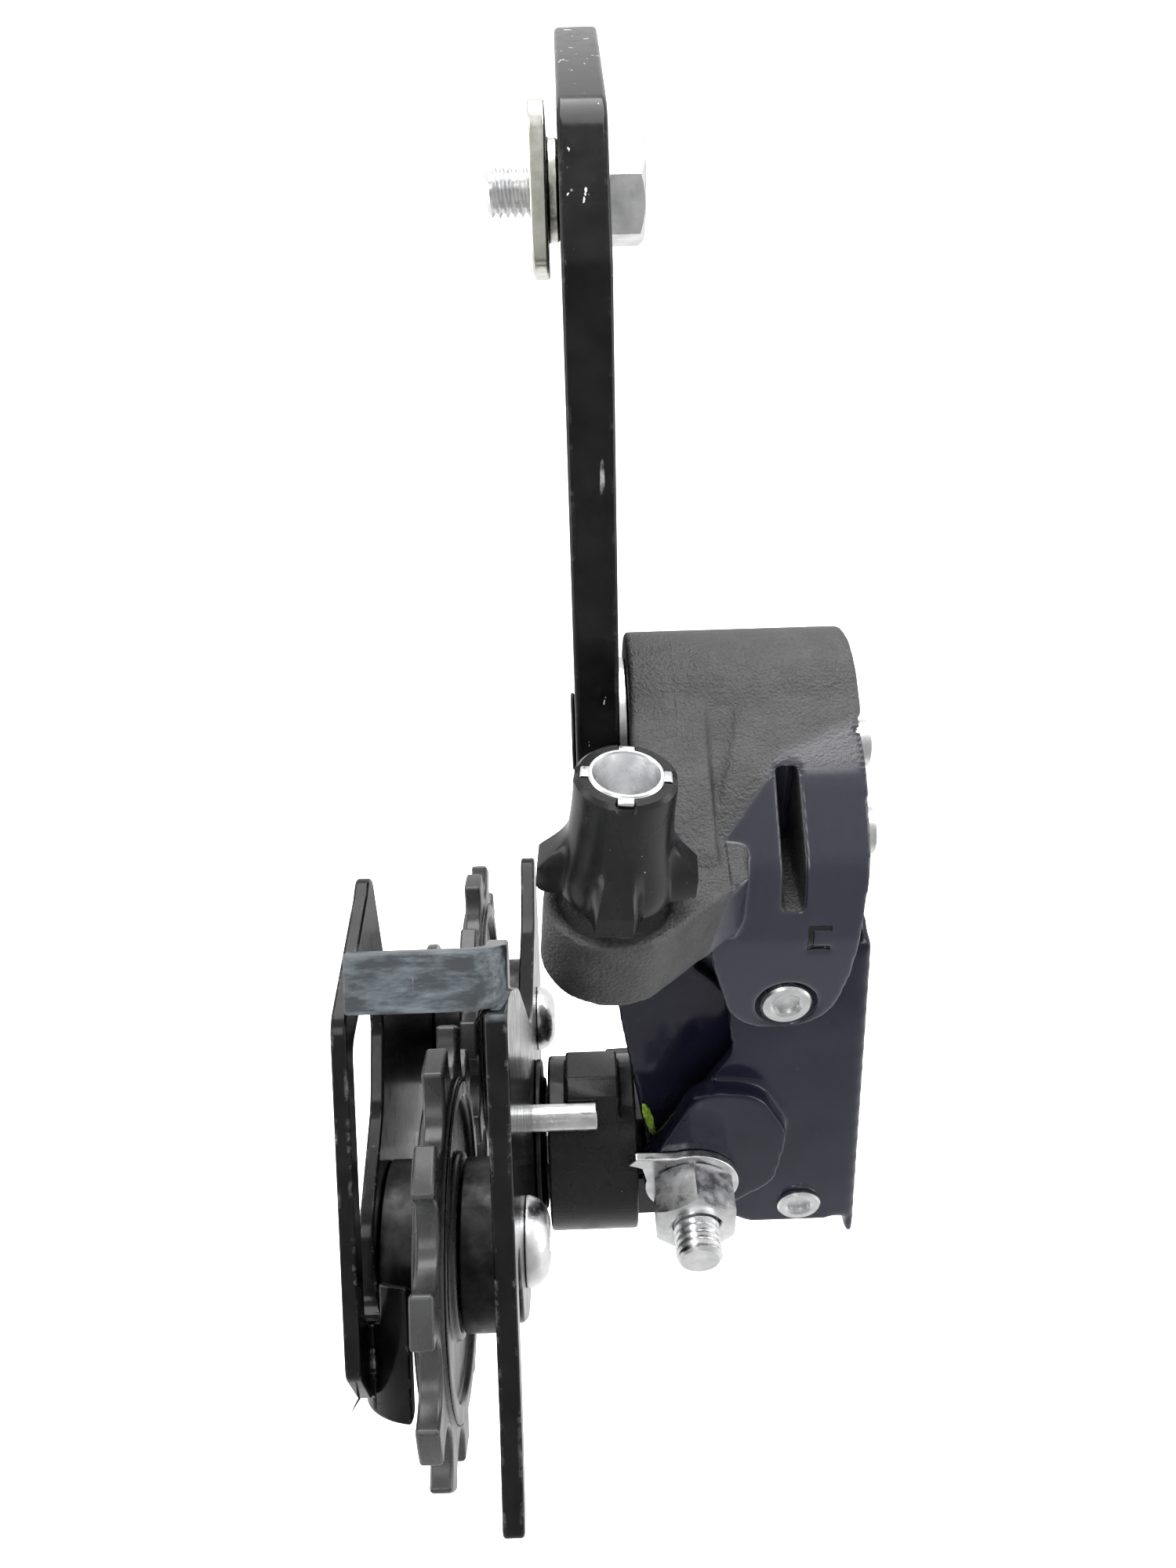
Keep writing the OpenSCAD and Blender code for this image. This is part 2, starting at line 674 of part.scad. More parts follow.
// A pulley with round-bottomed tooth gaps, worked out from the chain pitch
module pulley(y, z) {
    roller_r = 4;
    rim_t = 2.3;
    color([0.07, 0.07, 0.07]) translate([pulley_x, y, z]) rotate([0, 90, 0]) difference() {
        union() {
            translate([0, 0, -rim_t / 2]) linear_extrude(rim_t) difference() {
                circle(r = tip_r, $fn = 96);
                for (i = [0:teeth - 1])
                    rotate(360 / teeth * i) translate([pitch_r, 0]) {
                        circle(r = roller_r, $fn = 32);
                        rotate(0) polygon([[0, -roller_r], [4, -roller_r - 1.2],
                                           [4, roller_r + 1.2], [0, roller_r]]);
                    }
            }
            cylinder(h = 3.4, r = pitch_r - roller_r - 1, center = true);
            translate([0, 0, hub_x0 - pulley_x]) cylinder(h = hub_x1 - hub_x0, r = 6.6);
        }
        translate([0, 0, 0.9]) difference() {
            cylinder(h = 3, r = 15.5);
            cylinder(h = 9, r = 9.6, center = true);
        }
        mirror([0, 0, 1]) translate([0, 0, 0.9]) difference() {
            cylinder(h = 3, r = 15.5);
            cylinder(h = 9, r = 9.6, center = true);
        }
        cylinder(h = 40, r = bush_r + run_gap, center = true);
    }
}

module pulley_bush(y, z) {
    color("silver") difference() {
        rod_x(cage_x3, cage_x2, bush_r, y, z);
        rod_x(cage_x3 - over, cage_x2 + over, thread_r + 0.1, y, z);
    }
}

// Two pressed dust caps, one on each side of the hub
module pulley_caps(y, z) {
    cap_r = 9;
    color([0.12, 0.12, 0.12]) for (side = [0, 1]) {
        x0 = side == 0 ? cage_x3 + 0.05 : hub_x1 + 0.2;
        x1 = side == 0 ? hub_x0 - 0.2 : cage_x2 - 0.05;
        skirt = side == 0 ? [x1, x1 + 0.9] : [x0 - 0.9, x0];
        difference() {
            union() {
                rod_x(x0, x1, cap_r, y, z);
                rod_x(skirt[0], skirt[1], cap_r, y, z);
            }
            rod_x(x0 - over, x1 + over, bush_r + run_gap, y, z);
            rod_x(skirt[0] - (side == 0 ? 0 : over), skirt[1] + (side == 0 ? over : 0),
                  8, y, z);
        }
    }
}

module pulley_bolt(y, z) {
    head_t = 2.6;
    color("silver") difference() {
        union() {
            rod_x(cage_x4 - 2.4, cage_x1, thread_r, y, z);
            translate([cage_x1, y, z]) rotate([0, 90, 0]) rotate_extrude()
                polygon([[0, 0], [4.75, 0], [4.75, 0.5], [4.3, 1.5], [3.4, 2.3], [2.4, head_t],
                         [0, head_t]]);
        }
        rod_x(cage_x1 + 0.8, cage_x1 + 5, 1.6, y, z, sides = 6);
    }
}

module pulley_nut(y, z) {
    color("silver") difference() {
        rod_x(cage_x4 - 1.9, cage_x4, 4.9, y, z, sides = 6);
        rod_x(cage_x4 - 5, cage_x4 + over, thread_r + run_gap, y, z);
    }
}

module guide_pulley() {
    pulley(guide_y, guide_z);
}

module guide_bush() {
    pulley_bush(guide_y, guide_z);
}

module guide_caps() {
    pulley_caps(guide_y, guide_z);
}

module guide_bolt() {
    pulley_bolt(guide_y, guide_z);
}

module guide_nut() {
    pulley_nut(guide_y, guide_z);
}

module tension_pulley() {
    pulley(tension_y, tension_z);
}

module tension_bush() {
    pulley_bush(tension_y, tension_z);
}

module tension_caps() {
    pulley_caps(tension_y, tension_z);
}

module tension_bolt() {
    pulley_bolt(tension_y, tension_z);
}

module tension_nut() {
    pulley_nut(tension_y, tension_z);
}

hanger_bracket();
hanger_bolt();
hanger_nut();
b_pivot_axle();
b_pivot_washer();
b_knuckle();
high_limit_screw();
low_limit_screw();
adjuster_knob();
adjuster_insert();
adjuster_spring();
upper_outer_pin();
upper_inner_pin();
return_spring();
outer_link();
lower_outer_pin();
anchor_bolt();
anchor_washer();
anchor_nut();
inner_link();
lower_inner_pin();
p_knuckle();
cage_spring();
cage_axle();
cage_axle_clip();
cage_pivot_cover();
outer_cage_plate();
inner_cage_plate();
cage_stop_pin();
guide_pulley();
guide_bush();
guide_caps();
guide_bolt();
guide_nut();
tension_pulley();
tension_bush();
tension_caps();
tension_bolt();
tension_nut();
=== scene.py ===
# %% [markdown]
# # Rear bicycle derailleur: the looks
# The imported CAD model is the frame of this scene. Its nodes sit where they belong, in metres, with +X
# outboard, +Y forward along the bicycle and +Z up. The origin is the centre of the wheel axle. The lesson
# gives every part its real surface: softened edges, threads, springs, moulded skins and worn coatings.

# %% Load the frame
import json
import math
import bmesh
import bpy
from mathutils import Matrix, Vector, noise


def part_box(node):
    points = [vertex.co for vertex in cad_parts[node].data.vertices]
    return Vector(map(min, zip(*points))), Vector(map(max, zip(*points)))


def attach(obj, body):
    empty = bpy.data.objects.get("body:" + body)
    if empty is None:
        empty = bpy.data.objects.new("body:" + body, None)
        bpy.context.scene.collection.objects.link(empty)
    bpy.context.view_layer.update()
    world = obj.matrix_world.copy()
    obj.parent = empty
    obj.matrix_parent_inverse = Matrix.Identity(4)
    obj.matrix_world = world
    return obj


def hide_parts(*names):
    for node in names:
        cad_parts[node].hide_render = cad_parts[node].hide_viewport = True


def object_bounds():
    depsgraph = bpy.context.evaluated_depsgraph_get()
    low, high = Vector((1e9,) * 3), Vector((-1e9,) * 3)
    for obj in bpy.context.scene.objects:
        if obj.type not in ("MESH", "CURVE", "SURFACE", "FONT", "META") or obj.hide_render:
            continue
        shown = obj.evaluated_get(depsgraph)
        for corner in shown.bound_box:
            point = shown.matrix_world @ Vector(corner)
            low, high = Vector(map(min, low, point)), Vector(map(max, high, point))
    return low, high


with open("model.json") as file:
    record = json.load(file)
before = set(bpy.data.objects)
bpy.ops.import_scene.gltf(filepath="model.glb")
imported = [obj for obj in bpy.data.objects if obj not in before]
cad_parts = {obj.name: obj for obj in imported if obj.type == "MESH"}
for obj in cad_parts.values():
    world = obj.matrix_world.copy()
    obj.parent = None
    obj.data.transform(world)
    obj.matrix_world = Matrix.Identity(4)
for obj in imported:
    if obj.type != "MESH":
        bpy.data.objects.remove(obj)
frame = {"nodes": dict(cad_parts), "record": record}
nodes = frame["nodes"]
bodies = frame["record"]["behaviour"]["bodies"]
body_of = {node: body for body, names in bodies.items() for node in names}
slot_of = {part["node"]: part["material_slot"] for part in frame["record"]["subparts"]}
cad_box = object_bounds()

# %% [markdown]
# Two parts of the derailleur lean, so they have frames of their own. In the link frame x points outboard,
# y up along the links and z to the rear. In the adjuster frame z points out of the cable socket. Shapes are
# made in millimetres in such a frame and then placed by one matrix, which leaves the object at the origin.

# %% Frames of the leaning parts
MM = Matrix.Scale(0.001, 4)
LEAN = 18
LINK = Matrix.Rotation(math.radians(90 + LEAN), 4, "X")
ADJUSTER = (Matrix.Translation((4.6, -50.3, -60)) @ Matrix.Rotation(math.radians(4.5), 4, "Y")
            @ Matrix.Rotation(math.radians(19.4), 4, "X"))
# Where the outer pins pass through the link frame, as x and height.
UPPER_OUTER, LOWER_OUTER = (23.4, -78.9), (29.0, -122.0)


def along_x(x, y, z, turn=0):
    """Local z becomes the row's +X, turned about it by some degrees."""
    return (Matrix.Translation((x, y, z)) @ Matrix.Rotation(math.radians(turn), 4, "X")
            @ Matrix.Rotation(math.radians(90), 4, "Y"))


def in_link(x, height, depth, turn=0):
    """A place in the link frame, turned about its pins."""
    return LINK @ Matrix.Translation((x, height, depth)) @ Matrix.Rotation(math.radians(turn), 4, "Z")


def centre_mm(node):
    """The middle of a node's box, in millimetres."""
    low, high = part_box(node)
    return [(a + b) * 500 for a, b in zip(low, high)]


print("bolt axis", [round(v, 2) for v in centre_mm("hanger_bolt")])

# %% [markdown]
# Every finish is a Principled shader with its own small node network. A helper keeps that readable: it
# makes a node, sets the sockets that are plain numbers, and links the ones that are other nodes' outputs.
# All patterns read Object coordinates, which are metres here, so a scale of 4000 is a grain of 0.25 mm.

# %% Helper for node networks
class Finish:
    def __init__(self, name, **sockets):
        self.material = bpy.data.materials.new(name)
        self.material.use_nodes = True
        self.tree = self.material.node_tree
        self.shader = self.tree.nodes["Principled BSDF"]
        self.place = self.make("ShaderNodeTexCoord").outputs["Object"]
        self.put(self.shader, sockets)

    def put(self, node, sockets):
        for key, value in sockets.items():
            key = int(key[1:]) if key[0] == "_" else key.replace("_", " ")
            if isinstance(value, bpy.types.NodeSocket):
                self.tree.links.new(value, node.inputs[key])
            else:
                node.inputs[key].default_value = value

    def make(self, kind, settings=None, **sockets):
        node = self.tree.nodes.new(kind)
        for key, value in (settings or {}).items():
            setattr(node, key, value)
        self.put(node, sockets)
        return node

    def math(self, operation, a, b=0.0, clamp=False):
        settings = {"operation": operation, "use_clamp": clamp}
        return self.make("ShaderNodeMath", settings, _0=a, _1=b).outputs[0]

    def times(self, a, b):
        return self.math("MULTIPLY", a, b)

    def dot(self, vector, direction):
        settings = {"operation": "DOT_PRODUCT"}
        return self.make("ShaderNodeVectorMath", settings, _0=vector, _1=direction).outputs[1]

    def ramp(self, value, low, high, start=0.0, end=1.0, smooth=False):
        kind = "SMOOTHSTEP" if smooth else "LINEAR"
        return self.make("ShaderNodeMapRange", {"interpolation_type": kind}, Value=value, From_Min=low,
                         From_Max=high, To_Min=start, To_Max=end).outputs["Result"]

    def noise(self, scale, detail=3.0, stretch=(1, 1, 1), rough=0.5):
        spot = self.make("ShaderNodeMapping", Vector=self.place, Scale=stretch).outputs[0]
        pattern = self.make("ShaderNodeTexNoise", Vector=spot, Scale=scale, Detail=detail, Roughness=rough)
        return pattern.outputs["Fac"]

    def mix(self, factor, first, second):
        return self.make("ShaderNodeMix", {"data_type": "RGBA"}, _0=factor, _6=first, _7=second).outputs[2]

    def bump(self, height, depth, strength=1.0, below=None):
        node = self.make("ShaderNodeBump", Height=height, Distance=depth, Strength=strength)
        if below is not None:
            self.tree.links.new(below, node.inputs["Normal"])
        return node.outputs[0]

    def edges(self, radius):
        """0 on flats and 1 where the surface turns within the radius."""
        soft = self.make("ShaderNodeBevel", {"samples": 4}, Radius=radius).outputs[0]
        true = self.make("ShaderNodeNewGeometry").outputs["Normal"]
        return self.ramp(self.dot(soft, true), 0.995, 0.9)

    def band(self, value, low, high, soft=0.00008):
        """1 between low and high, with soft ends."""
        rise = self.ramp(value, low, low + soft)
        return self.times(rise, self.ramp(value, high - soft, high, 1, 0))

    def wear(self, **sockets):
        self.put(self.shader, sockets)


def grey(value, tint=(1, 1, 1)):
    return (value * tint[0], value * tint[1], value * tint[2], 1)


# %% [markdown]
# The hanger and the cage plates are stamped steel under a thin gloss black coat. Handling rubs that coat
# through along the edges, and small chips and hairline scratches show steel. The edge mask compares the
# true normal with one averaged over a small radius, and a noise breaks it up so the wear isn't a clean line.

# %% Gloss black coat with worn edges
def coated_steel(name, chips, tint):
    f = Finish(name, Specular_IOR_Level=0.24, Coat_Weight=0.06, Coat_Roughness=0.06)
    patch = f.noise(260, 4)
    rubbed = f.times(f.edges(0.0004), f.ramp(f.noise(380, 5, rough=0.7), 0.54, 0.72))
    clamped = f.ramp(f.dot(f.place, (0, 0, 1)), -0.022, -0.004, 0, 0.07)
    fleck = f.ramp(f.math("ADD", f.noise(1100, 3, (1, 1, 0.5)), clamped), 0.8 - chips, 0.81 - chips)
    hair = f.times(f.ramp(f.noise(700, 2, (1, 1, 0.05)), 0.71, 0.73), f.ramp(patch, 0.5, 0.6))
    worn = f.math("MAXIMUM", f.times(rubbed, 0.6), f.math("MAXIMUM", fleck, f.times(hair, 0.35)), True)
    coat = f.mix(f.ramp(patch, 0.35, 0.7), grey(0.0015), grey(0.004, tint))
    f.wear(Base_Color=f.mix(worn, coat, grey(0.55)), Metallic=f.times(worn, 0.8),
           Roughness=f.math("ADD", f.ramp(f.noise(500, 4), 0.3, 0.7, 0.12, 0.24), f.times(worn, 0.15)))
    skin = f.bump(f.noise(1300, 2), 0.00002, 0.35)
    f.wear(Normal=f.bump(worn, 0.00004, 0.6, skin))
    return f


black_steel = coated_steel("black_coat", 0.03, (1, 1.02, 1.1))
print("finish", black_steel.material.name)

# %% [markdown]
# The tab that bridges the cage gets a painted sheen: a lighter blue grey that stands in for the light its top
# mirrors, streaked by a stretched noise and made a little rougher. The same coat is made again, with that
# patch mixed in by position.

# %% The painted sheen on the tab of the outer plate
plate_steel = coated_steel("black_coat_plate", 0.02, (1, 1.03, 1.15))
height = plate_steel.dot(plate_steel.place, (0, 0, 1))
reach = plate_steel.dot(plate_steel.place, (0, 1, 0))
on_tab = plate_steel.times(plate_steel.ramp(height, -0.0800, -0.0792),
                           plate_steel.ramp(reach, -0.0560, -0.0575))
sheen_streaks = plate_steel.ramp(plate_steel.noise(900, 6, (0.25, 1, 1), 0.7), 0.42, 0.66)
tab_painted_sheen = plate_steel.times(on_tab, plate_steel.ramp(sheen_streaks, 0, 1, 0.3, 1.0))
base = plate_steel.shader.inputs["Base Color"].links[0].from_socket
rough = plate_steel.shader.inputs["Roughness"].links[0].from_socket
# Where on_tab is 1 the base colour turns into the painted sheen, a lighter blue grey, and the roughness
# rises.
plate_steel.wear(Base_Color=plate_steel.mix(tab_painted_sheen, base, (0.075, 0.088, 0.098, 1)),
                 Roughness=plate_steel.math("ADD", rough, plate_steel.times(on_tab, 0.22)))
print("finish", plate_steel.material.name)

# %% [markdown]
# The links are pressed from thinner sheet and have a deeper, smoother gloss with a blue cast. Only dust
# specks and a very soft waviness from the press break the reflection.

# %% Blue-black link coat
link_coat = Finish("blue_black_coat", Specular_IOR_Level=0.25, Coat_Weight=0.12, Coat_Roughness=0.06)
dust = link_coat.ramp(link_coat.noise(2600, 2), 0.78, 0.81)
link_tone = link_coat.mix(link_coat.ramp(link_coat.noise(90, 3), 0.35, 0.65),
                          (0.003, 0.003, 0.008, 1), (0.006, 0.006, 0.013, 1))
link_coat.wear(Base_Color=link_coat.mix(dust, link_tone, grey(0.16)),
               Roughness=link_coat.ramp(link_coat.noise(350, 4), 0.3, 0.7, 0.1, 0.24),
               Normal=link_coat.bump(link_coat.noise(160, 2), 0.00012, 0.25))
print("finish", link_coat.material.name)

# %% [markdown]
# Zinc plating is bright but never a mirror: the parts tumble together in the bath, so the surface has soft
# cloudy roughness, tiny dents and a darker film in places. The chromate version adds a yellow-green tint.

# %% Zinc and chromate
def plated(name, light, dark, rough=(0.2, 0.4)):
    f = Finish(name, Metallic=1.0)
    cloud = f.noise(420, 5, rough=0.6)
    f.wear(Base_Color=f.mix(f.ramp(cloud, 0.35, 0.68), light, dark),
           Roughness=f.ramp(f.noise(800, 4), 0.3, 0.72, *rough))
    dents = f.bump(f.noise(700, 3), 0.00005, 0.35)
    f.wear(Normal=f.bump(f.noise(3500, 2, (1, 1, 0.2)), 0.00001, 0.4, dents))
    return f


zinc = plated("zinc_plate", grey(0.93), grey(0.68, (1, 1.01, 1.03)))
chromate = plated("chromate_plate", (0.86, 0.85, 0.78, 1), (0.66, 0.68, 0.55, 1), (0.16, 0.34))
spring_wire = plated("spring_wire", grey(0.34), grey(0.16), (0.25, 0.42))
black_oxide = plated("black_oxide", grey(0.055), grey(0.02), (0.3, 0.5))
print("finishes", zinc.material.name, chromate.material.name)

# %% [markdown]
# The upper knuckle is glass-filled nylon. Its tool was spark-eroded, which leaves a fine even grain that
# sparkles on top of the barrel, while the flat rear face came from a polished insert. The grain is a bump,
# and it stops at a curved border low on the rear side. A thin parting line runs over the barrel where the
# tool met, and a small square latch mark is pressed into the face, its groove darkened with painted shade.

# %% Grained nylon with a polished face
nylon = Finish("grained_nylon", Specular_IOR_Level=0.68)
facing = nylon.make("ShaderNodeTexCoord").outputs["Normal"]
lean = math.radians(LEAN)
to_rear = (0, -math.cos(lean), -math.sin(lean))
outboard = nylon.dot(nylon.place, (1, 0, 0))
upward = nylon.dot(nylon.place, (0, -math.sin(lean), math.cos(lean)))
border = nylon.ramp(outboard, 0.0135, 0.0160, -0.0660, -0.0577)
for start, end, rise in ((0.0160, 0.0225, 0.0052), (0.0225, 0.0310, 0.0016)):
    border = nylon.math("ADD", border, nylon.ramp(outboard, start, end, 0, rise))
below = nylon.times(nylon.ramp(nylon.math("SUBTRACT", border, upward), -0.0003, 0.0006),
                    nylon.ramp(outboard, 0.0128, 0.0140))
polished = nylon.times(nylon.ramp(nylon.dot(facing, to_rear), 0.25, 0.5, smooth=True), below)
grain = nylon.math("ADD", nylon.noise(3000, 2, rough=0.7), nylon.times(nylon.noise(1500, 1), 0.5))
matt = nylon.math("SUBTRACT", 1.0, polished)
seam_x, seam_foot = 0.0115, -0.0630
off_seam = nylon.math("ABSOLUTE", nylon.math("SUBTRACT", outboard, seam_x))
seam = nylon.times(nylon.ramp(off_seam, 0.00003, 0.00012, 1, 0),
                   nylon.ramp(nylon.dot(nylon.place, (0, 0, 1)), seam_foot, -0.0615))
nylon_tone = nylon.mix(nylon.ramp(nylon.noise(320, 5), 0.35, 0.7), grey(0.014), grey(0.024, (1, 1.02, 1.06)))
frame_mark = nylon.times(nylon.band(outboard, 0.0249, 0.0275), nylon.band(upward, -0.0700, -0.0666))
island = nylon.times(nylon.band(outboard, 0.0255, 0.0280), nylon.band(upward, -0.0694, -0.0672))
# The latch mask presses the mark in as a bump and also paints painted shade, almost black, into its groove.
latch_groove_and_shade = nylon.times(nylon.math("SUBTRACT", frame_mark, island, True), polished)
face_tone_and_groove_shade = nylon.mix(latch_groove_and_shade, (0.009, 0.009, 0.017, 1), grey(0.0005))
nylon.wear(Base_Color=nylon.mix(polished, nylon_tone, face_tone_and_groove_shade),
           Roughness=nylon.ramp(polished, 0, 1, 0.46, 0.2))
grained = nylon.bump(nylon.times(grain, matt), 0.00026, 0.75)
stepped = nylon.bump(below, 0.00025, 0.8, grained)
marked = nylon.bump(nylon.math("SUBTRACT", 1.0, latch_groove_and_shade), 0.0008, 1.0, stepped)
nylon.wear(Normal=nylon.bump(seam, 0.00006, 0.5, marked))
print("finish", nylon.material.name)

# %% [markdown]
# The other plastics: satin for the knob, with faint mould flow, and a harder semi-gloss for the pulleys,
# which show swirling flow lines around the hub and a little dust that sticks to the grease.

# %% Satin and semi-gloss plastics
def plastic(name, rough, grain_scale, tone, gloss):
    f = Finish(name, Specular_IOR_Level=gloss)
    flow = f.noise(380, 4, (1, 1, 0.6))
    specks = f.ramp(f.noise(3000, 1), 0.79, 0.82)
    colour = f.mix(flow, grey(tone * 0.7), grey(tone * 1.3, (1, 1.02, 1.06)))
    f.wear(Base_Color=f.mix(specks, colour, grey(0.12)),
           Roughness=f.ramp(flow, 0.3, 0.7, rough - 0.07, rough + 0.08))
    f.wear(Normal=f.bump(f.noise(grain_scale, 2), 0.00003, 0.4))
    return f


satin = plastic("satin_plastic", 0.24, 3800, 0.006, 0.26)
pulley_black = plastic("pulley_plastic_skin", 0.27, 1500, 0.022, 0.6)
lower_nylon = plastic("lower_nylon", 0.26, 2600, 0.007, 0.24)
print("finishes", satin.material.name, pulley_black.material.name)

# %% [markdown]
# Smooth shading stops at sharp edges.

# %% Finish a piece
FINISH = {"black_steel": black_steel, "link_steel": link_coat, "zinc": zinc, "chromate_zinc": chromate,
          "knuckle_plastic": nylon, "knob_plastic": satin, "pulley_plastic": pulley_black,
          "spring_steel": spring_wire, "black_metal": black_oxide}
made = {}


def mesh_of(bm, name):
    """The bmesh as a mesh. The bmesh itself is used up."""
    mesh = bpy.data.meshes.new(name)
    bm.to_mesh(mesh)
    bm.free()
    return mesh


def joined(bm, other):
    """Adds another bmesh to this one."""
    bm.from_mesh(mesh_of(other, "joined"))


def placed(name, data):
    """A new object in the scene."""
    thing = bpy.data.objects.new(name, data)
    bpy.context.scene.collection.objects.link(thing)
    return thing


def settle(mesh, name, node, finish=None, crease=35):
    piece = placed(name, mesh)
    mesh.materials.clear()
    mesh.materials.append((finish or FINISH[slot_of[node]]).material)
    for face in mesh.polygons:
        face.use_smooth = True
    mesh.set_sharp_from_angle(angle=math.radians(crease))
    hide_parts(node)
    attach(piece, body_of[node])
    made[name] = len(mesh.polygons)
    return piece


def shaped(bm, name, node, matrix, finish=None, crease=35):
    """A bmesh in local millimetres becomes a piece in the row frame."""
    bmesh.ops.remove_doubles(bm, verts=bm.verts, dist=0.0005)
    bm.transform(MM @ matrix)
    bmesh.ops.recalc_face_normals(bm, faces=bm.faces)
    return settle(mesh_of(bm, name), name, node, finish, crease)


# %% [markdown]
# Most stamped and turned parts already have the right shape in CAD, but their edges are perfectly sharp,
# and nothing real is. A copy of such a mesh is merged, its flat faces joined, and a Bevel modifier breaks
# every edge by a few tenths of a millimetre, which is what catches the light.

# %% Soft-edged copy of a CAD node
def softened(node, name, width, finish=None, segments=2, crease=35):
    bm = bmesh.new()
    bm.from_mesh(nodes[node].data)
    bmesh.ops.remove_doubles(bm, verts=bm.verts, dist=0.000002)
    bmesh.ops.dissolve_limit(bm, angle_limit=math.radians(1.2), verts=bm.verts, edges=bm.edges)
    piece = settle(mesh_of(bm, name), name, node, finish, crease)
    edge = piece.modifiers.new("edge", "BEVEL")
    edge.width = width / 1000
    edge.segments = segments
    edge.limit_method = "ANGLE"
    edge.angle_limit = math.radians(30)
    edge.use_clamp_overlap = False
    edge.harden_normals = True
    return piece


# %% [markdown]
# A moulded or deeply pressed part has no sharp corner at all: its fillets run into each other. Such a copy
# is turned into its own frame first, so that its flats stay flat, remeshed with small voxels and relaxed.

# %% Moulded copy of a CAD node
def relaxed(mesh, rounds, share=None):
    """The mesh after some rounds of smoothing, of all its points or of a share of each."""
    blank = placed("blank", mesh)
    relax = blank.modifiers.new("relax", "SMOOTH")
    relax.iterations, relax.factor = rounds, 0.5
    if share:
        group = blank.vertex_groups.new(name="share")
        for v in mesh.vertices:
            amount = share(v.co * 1000)
            if amount > 0:
                group.add([v.index], amount, "REPLACE")
        relax.vertex_group = "share"
    result = bpy.data.meshes.new_from_object(blank.evaluated_get(bpy.context.evaluated_depsgraph_get()))
    bpy.data.objects.remove(blank)
    return result


def moulded(node, name, own, voxel, rounds, finish=None, corner=None):
    mesh = nodes[node].data.copy()
    mesh.transform(own.inverted())
    blank = placed("blank", mesh)
    skin = blank.modifiers.new("skin", "REMESH")
    skin.mode = "VOXEL"
    skin.voxel_size = voxel / 1000
    skin.use_smooth_shade = True
    graph = bpy.context.evaluated_depsgraph_get()
    result = bpy.data.meshes.new_from_object(blank.evaluated_get(graph))
    bpy.data.objects.remove(blank)
    result = relaxed(result, rounds)
    if corner:
        result = relaxed(result, 70, corner)
    result.transform(own)
    result.name = name
    return settle(result, name, node, finish, 60)


# %% [markdown]
# ## Hanger
# The claw hanger is a thick stamped plate with rolled-over edges, so its bevel is the widest of all.

# %% Hanger plate and pivot axle
softened("hanger_bracket", "hanger_plate", 0.55, segments=3)
softened("b_pivot_axle", "upper_pivot_axle", 0.25)
softened("b_pivot_washer", "upper_pivot_washer", 0.15)
softened("hanger_nut", "flange_nut", 0.3, segments=3)
print(made)

# %% [markdown]
# A screw thread is one tooth profile turned and raised at the same time. The spin operator does exactly
# that when each step also moves by a fraction of the pitch. One turn too many is made at each end, and
# two planes trim it flat, which leaves the run-out that a cut thread has.

# %% Threaded rod
def threaded(radius, pitch, length, cut=0.58):
    steps = 24
    turns = int(length / pitch) + 3
    root = radius - cut * pitch
    bm = bmesh.new()
    tooth = [(root, 0), (root, 0.12), (radius, 0.44), (radius, 0.58), (root, 0.9), (root, 1)]
    verts = [bm.verts.new((r, 0, (z - 1.5) * pitch)) for r, z in tooth]
    edges = [bm.edges.new(pair) for pair in zip(verts, verts[1:])]
    bmesh.ops.spin(bm, geom=verts + edges, cent=(0, 0, 0), axis=(0, 0, 1), dvec=(0, 0, pitch / steps),
                   angle=2 * math.pi * turns, steps=steps * turns)
    bmesh.ops.remove_doubles(bm, verts=bm.verts, dist=0.002)
    for height, side in ((0, -1), (length, 1)):
        bmesh.ops.bisect_plane(bm, geom=bm.verts[:] + bm.edges[:] + bm.faces[:], plane_co=(0, 0, height),
                               plane_no=(0, 0, side), clear_outer=True)
    bmesh.ops.holes_fill(bm, edges=[e for e in bm.edges if e.is_boundary], sides=0)
    for v in bm.verts:
        limit = radius - 0.5 + max(0.0, length - v.co.z) * 0.9
        r = math.hypot(v.co.x, v.co.y)
        if r > limit:
            v.co.x, v.co.y = v.co.x * limit / r, v.co.y * limit / r
    return bm


# %% [markdown]
# A hexagon head is turned before its flats are cut, so its top carries a round chamfer that meets each flat
# in an arc. Here the same thing happens backwards: a turned profile is spun, then its rim is pulled out to
# the hexagon, and the corners drop along the chamfer's slope as they move out.

# %% Turned profile and hexagon
# A solid profile starts and ends this close to the axis it is turned about.
CENTRE = 0.001
# How far a hexagon's rim lies under its face, and how steeply the chamfer drops towards a corner.
RIM_DROP, CHAMFER_SLOPE = 0.12, 0.62


def turned(points, steps=96, closed=True):
    bm = bmesh.new()
    verts = [bm.verts.new((r, 0, z)) for r, z in points]
    pairs = list(zip(verts, verts[1:])) + ([(verts[-1], verts[0])] if closed else [])
    edges = [bm.edges.new(pair) for pair in pairs]
    bmesh.ops.spin(bm, geom=verts + edges, cent=(0, 0, 0), axis=(0, 0, 1), angle=2 * math.pi, steps=steps,
                   use_merge=True)
    bmesh.ops.remove_doubles(bm, verts=bm.verts, dist=0.0005)
    return bm


def to_hexagon(bm, flats, low, high, chamfer_low=True):
    """Pulls the rim of a turned blank out to a hexagon and chamfers its corners."""
    middle = (low + high) / 2
    for v in bm.verts:
        r = math.hypot(v.co.x, v.co.y)
        if r < flats / 2 - 0.01:
            continue
        angle = math.degrees(math.atan2(v.co.y, v.co.x)) % 60 - 30
        wide = flats / 2 / math.cos(math.radians(angle))
        v.co.x, v.co.y = v.co.x * wide / r, v.co.y * wide / r
        drop = RIM_DROP + (wide - flats / 2) * CHAMFER_SLOPE
        if v.co.z > middle:
            v.co.z = high - drop
        elif chamfer_low:
            v.co.z = low + drop
    return bm


print("helpers ready")

# %% [markdown]
# The fixing bolt holds the hanger in the dropout. Its head is cold-formed with a slightly raised edge.

